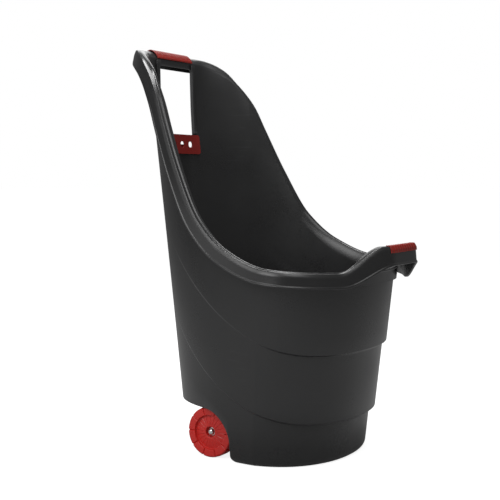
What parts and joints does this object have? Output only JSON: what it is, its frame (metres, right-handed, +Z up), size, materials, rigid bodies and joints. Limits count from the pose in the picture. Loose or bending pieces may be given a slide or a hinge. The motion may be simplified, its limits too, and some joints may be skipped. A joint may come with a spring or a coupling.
{
  "type": "garden cart",
  "caption": "Tall-backed plastic garden tub on wheels with a swept rim, a bar handle at the back, a lifting handle at the front and a slotted tool rack",
  "frame": {"origin": "bottom centre of the bounding box, on the floor the cart stands on", "axes": "+Z up, -Y towards the low front lip and front handle, +Y towards the tall back and rear handle, X along the axle"},
  "size_m": [0.502, 0.5812, 0.8395],
  "materials": {
    "black_plastic": "satin moulded, fine grain",
    "red_grip": "satin, ribbed",
    "red_rack": "satin moulded",
    "red_wheel": "satin moulded",
    "steel": "zinc-plated, bright"
  },
  "bodies": {
    "cart": {"tub": "black_plastic", "rear_grip": "red_grip", "front_grip": "red_grip", "tool_rack": "red_rack", "axle": "steel", "axle_cap_left": "steel", "axle_cap_right": "steel"},
    "left_wheel": {"wheel_left": "red_wheel"},
    "right_wheel": {"wheel_right": "red_wheel"}
  },
  "joints": [
    {"name": "left_wheel_spin", "type": "hinge", "parent": "cart", "child": "left_wheel", "pos_m": [-0.148, 0.0577, 0.052], "axis": [1, 0, 0], "continuous": true},
    {"name": "right_wheel_spin", "type": "hinge", "parent": "cart", "child": "right_wheel", "pos_m": [0.148, 0.0577, 0.052], "axis": [1, 0, 0], "continuous": true}
  ]
}
